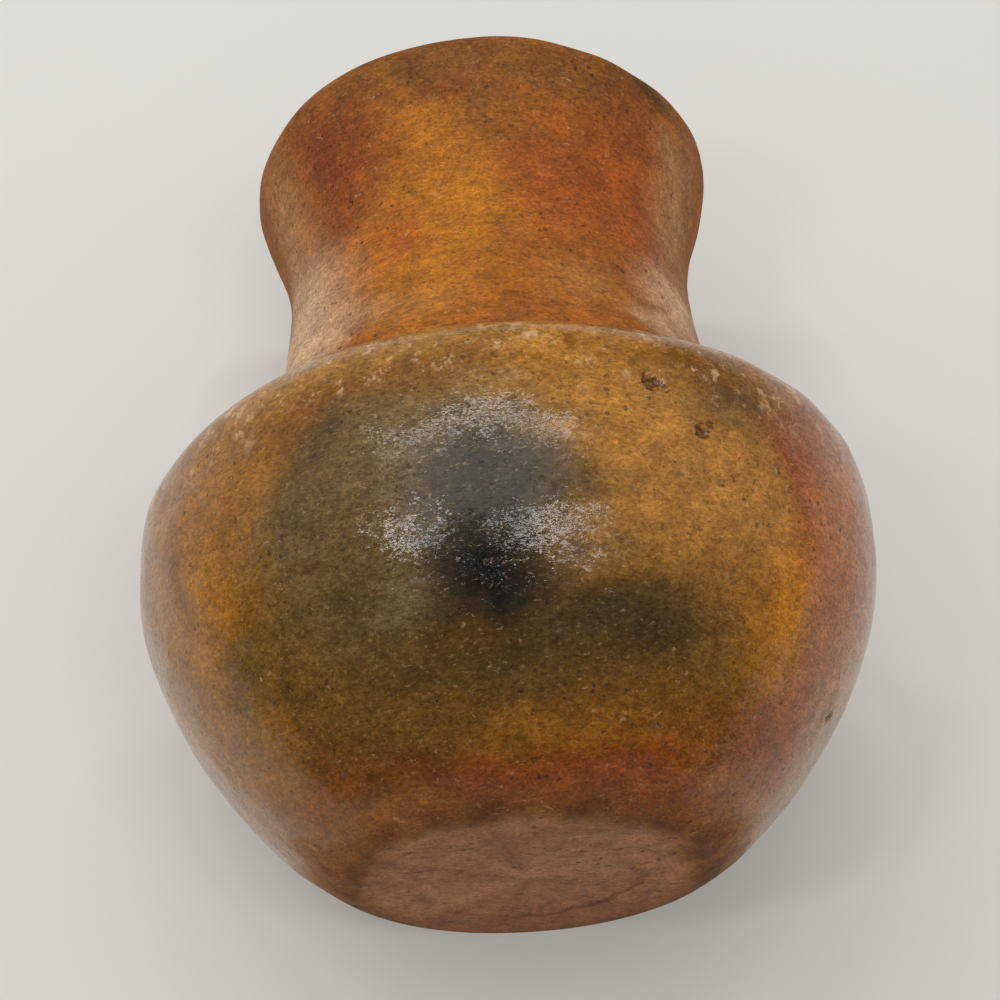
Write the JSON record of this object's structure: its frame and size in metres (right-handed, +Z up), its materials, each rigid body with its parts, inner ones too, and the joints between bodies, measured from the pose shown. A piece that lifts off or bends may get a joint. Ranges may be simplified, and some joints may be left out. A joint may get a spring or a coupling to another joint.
{
  "type": "pottery vase",
  "caption": "Hand-coiled earthenware vase with a low round belly, a waisted neck, a plain mouth and a small flat foot, burnished and smoke-clouded.",
  "frame": {"origin": "middle of the flat foot, on the surface that the vase stands on", "axes": "+Z up through the middle of the mouth; +Y away from the side with the large dark fire cloud"},
  "size_m": [0.115, 0.115, 0.129],
  "materials": {
    "foot_clay": "burnished, unglazed, satin",
    "lower_wall_clay": "burnished, unglazed, satin",
    "smoked_belly_clay": "burnished, unglazed, satin",
    "shoulder_clay": "burnished, unglazed, satin",
    "neck_clay": "burnished, unglazed, satin",
    "rim_clay": "burnished, unglazed, satin"
  },
  "bodies": {
    "root": {"base_pad": "foot_clay", "foot_coil": "foot_clay", "body_coil_1": "lower_wall_clay", "body_coil_2": "lower_wall_clay", "body_coil_3": "smoked_belly_clay", "body_coil_4": "smoked_belly_clay", "body_coil_5": "smoked_belly_clay", "body_coil_6": "shoulder_clay", "body_coil_7": "shoulder_clay", "neck_coil_1": "neck_clay", "neck_coil_2": "neck_clay", "neck_coil_3": "neck_clay", "neck_coil_4": "neck_clay", "neck_coil_5": "neck_clay", "rim_coil": "rim_clay"}
  },
  "joints": []
}
